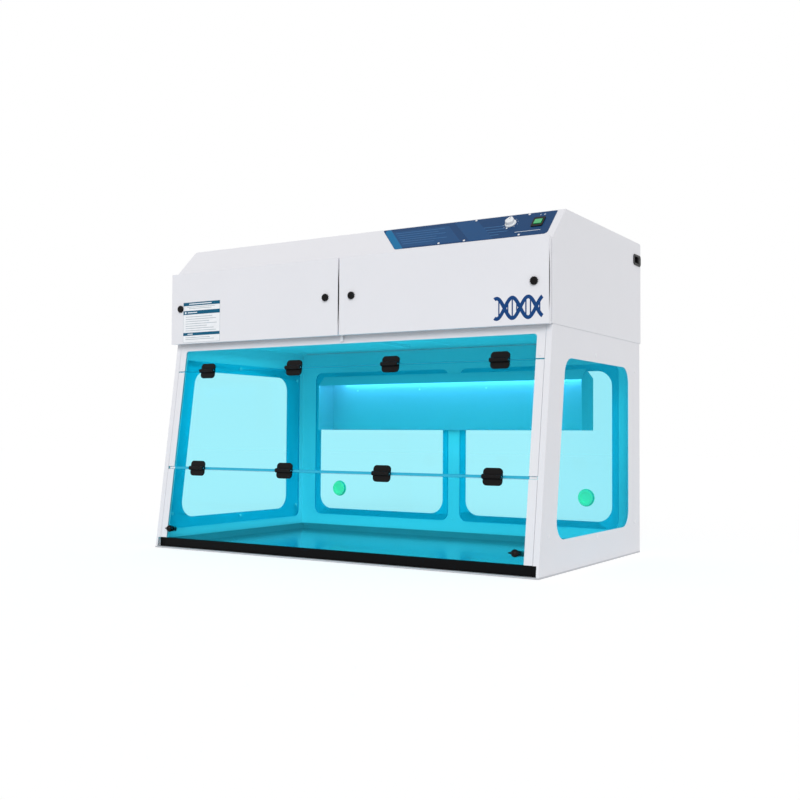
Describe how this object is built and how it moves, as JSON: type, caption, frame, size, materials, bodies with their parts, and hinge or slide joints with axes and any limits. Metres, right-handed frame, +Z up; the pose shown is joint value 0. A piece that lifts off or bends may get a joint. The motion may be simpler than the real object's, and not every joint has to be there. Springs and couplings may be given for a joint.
{
  "type": "pcr workstation",
  "caption": "Bench cabinet with a blue-tinted folding sash, side and back windows, lamp unit inside and a filter hood with removable front covers and a sloped control panel",
  "frame": {"origin": "centre of the base plate's underside, where it stands on the bench", "axes": "+X to the right seen from the front, +Y to the rear, +Z up"},
  "size_m": [1.2225, 0.7183, 0.889],
  "materials": {
    "white_paint": "smooth white powder coat",
    "hood_paint": "smooth white powder coat",
    "base_plate_steel": "light grey powder coat",
    "tray_black": "satin black powder coat",
    "stainless_steel": "fine brushed stainless steel",
    "tinted_pane": "clear pale blue tinted sheet",
    "hinge_black": "moulded black plastic",
    "pin_steel": "plain steel",
    "knob_black": "moulded black plastic",
    "screw_white": "white caps",
    "port_green": "moulded green plastic",
    "lamp_tube_glass": "clear lamp glass",
    "lamp_holder_white": "white lamp holder",
    "gasket_rubber": "foam rubber",
    "filter_frame_aluminium": "plain aluminium",
    "filter_media": "pleated white media",
    "motor_aluminium": "cast aluminium",
    "impeller_black": "moulded black plastic",
    "panel_film_blue": "printed blue film",
    "control_box_grey": "grey moulded box",
    "knob_white": "white moulded knob",
    "bezel_black": "moulded black plastic",
    "rocker_green": "green lens"
  },
  "bodies": {
    "cabinet": {"side_panel_left": "white_paint", "side_panel_right": "white_paint", "back_panel": "white_paint", "top_front_beam": "white_paint", "strips_top": "white_paint", "hood_deck": "white_paint", "fan_deck": "white_paint", "diffusers": "white_paint", "hood_shell": "hood_paint", "base_plate": "base_plate_steel", "work_tray": "tray_black", "tray_end_caps": "tray_black", "work_surface": "stainless_steel", "lamp_housing": "stainless_steel", "side_window_left": "tinted_pane", "side_window_right": "tinted_pane", "back_windows": "tinted_pane", "pane_top": "tinted_pane", "hinge_leaves_top": "hinge_black", "hinge_pins_upper": "pin_steel", "wall_screws": "screw_white", "small_screws": "screw_white", "cover_tab": "screw_white", "lamp_tube": "lamp_tube_glass", "lamp_holders": "lamp_holder_white", "cover_gaskets": "gasket_rubber", "filter_seals": "gasket_rubber", "filter_frames": "filter_frame_aluminium", "filter_media": "filter_media", "prefilters": "filter_media", "fan_motors": "motor_aluminium", "control_panel": "panel_film_blue", "control_box": "control_box_grey", "rocker_bezel": "bezel_black", "power_inlet": "bezel_black"},
    "sash_middle": {"pane_middle": "tinted_pane", "strips_middle": "white_paint", "hinge_leaves_middle": "hinge_black", "hinge_pins_lower": "pin_steel"},
    "sash_lower": {"pane_lower": "tinted_pane", "strips_lower": "white_paint", "hinge_leaves_lower": "hinge_black"},
    "latch_left": {"latch_knob_left": "knob_black", "latch_cam_left": "pin_steel"},
    "latch_right": {"latch_knob_right": "knob_black", "latch_cam_right": "pin_steel"},
    "cover_left": {"cover_left": "white_paint"},
    "cover_right": {"cover_right": "white_paint"},
    "thumb_left_outer": {"thumb_knob_left_outer": "knob_black"},
    "thumb_left_inner": {"thumb_knob_left_inner": "knob_black"},
    "thumb_right_inner": {"thumb_knob_right_inner": "knob_black"},
    "thumb_right_outer": {"thumb_knob_right_outer": "knob_black"},
    "speed_knob": {"control_knob": "knob_white"},
    "power_rocker": {"power_rocker": "rocker_green"},
    "impeller_left": {"impeller_left": "impeller_black"},
    "impeller_right": {"impeller_right": "impeller_black"},
    "port_left": {"port_plug_left": "port_green"},
    "port_right": {"port_plug_right": "port_green"}
  },
  "joints": [
    {"name": "sash_middle_swing", "type": "hinge", "parent": "cabinet", "child": "sash_middle", "pos_m": [0, -0.28575, 0.51624], "axis": [-1, 0, 0], "range_deg": [0, 100]},
    {"name": "sash_lower_fold", "type": "hinge", "parent": "sash_middle", "child": "sash_lower", "pos_m": [0, -0.32402, 0.23324], "axis": [-1, 0, 0], "range_deg": [0, 165]},
    {"name": "latch_right_turn", "type": "hinge", "parent": "sash_lower", "child": "latch_right", "pos_m": [0.55, -0.34236, 0.0565], "axis": [0, -0.991, 0.134], "range_deg": [0, 90]},
    {"name": "latch_left_turn", "type": "hinge", "parent": "sash_lower", "child": "latch_left", "pos_m": [-0.55, -0.34236, 0.0565], "axis": [0, 0.991, -0.134], "range_deg": [0, 90]},
    {"name": "cover_left_lift_off", "type": "slide", "parent": "cabinet", "child": "cover_left", "axis": [0, -1, 0], "range_m": [0, 0.03]},
    {"name": "cover_right_lift_off", "type": "slide", "parent": "cabinet", "child": "cover_right", "axis": [0, -1, 0], "range_m": [0, 0.03]},
    {"name": "thumb_left_outer_turn", "type": "hinge", "parent": "cover_left", "child": "thumb_left_outer", "pos_m": [-0.572, -0.2953, 0.701], "axis": [0, -1, 0], "range_deg": [0, 720]},
    {"name": "thumb_left_inner_turn", "type": "hinge", "parent": "cover_left", "child": "thumb_left_inner", "pos_m": [-0.0425, -0.2953, 0.701], "axis": [0, -1, 0], "range_deg": [0, 720]},
    {"name": "thumb_right_inner_turn", "type": "hinge", "parent": "cover_right", "child": "thumb_right_inner", "pos_m": [0.0425, -0.2953, 0.701], "axis": [0, -1, 0], "range_deg": [0, 720]},
    {"name": "thumb_right_outer_turn", "type": "hinge", "parent": "cover_right", "child": "thumb_right_outer", "pos_m": [0.572, -0.2953, 0.701], "axis": [0, -1, 0], "range_deg": [0, 720]},
    {"name": "speed_knob_turn", "type": "hinge", "parent": "cabinet", "child": "speed_knob", "pos_m": [0.474, -0.22259, 0.86101], "axis": [0, -0.7156, 0.6985], "range_deg": [-135, 135]},
    {"name": "power_rocker_tilt", "type": "hinge", "parent": "cabinet", "child": "power_rocker", "pos_m": [0.551, -0.22613, 0.85608], "axis": [1, 0, 0], "range_deg": [-8, 8]},
    {"name": "impeller_left_spin", "type": "hinge", "parent": "cabinet", "child": "impeller_left", "pos_m": [-0.304, 0.01, 0.765], "axis": [0, 0, 1], "continuous": true},
    {"name": "impeller_right_spin", "type": "hinge", "parent": "cabinet", "child": "impeller_right", "pos_m": [0.304, 0.01, 0.765], "axis": [0, 0, 1], "continuous": true},
    {"name": "port_left_pull", "type": "slide", "parent": "cabinet", "child": "port_left", "axis": [0, 1, 0], "range_m": [0, 0.03]},
    {"name": "port_right_pull", "type": "slide", "parent": "cabinet", "child": "port_right", "axis": [0, 1, 0], "range_m": [0, 0.03]}
  ]
}
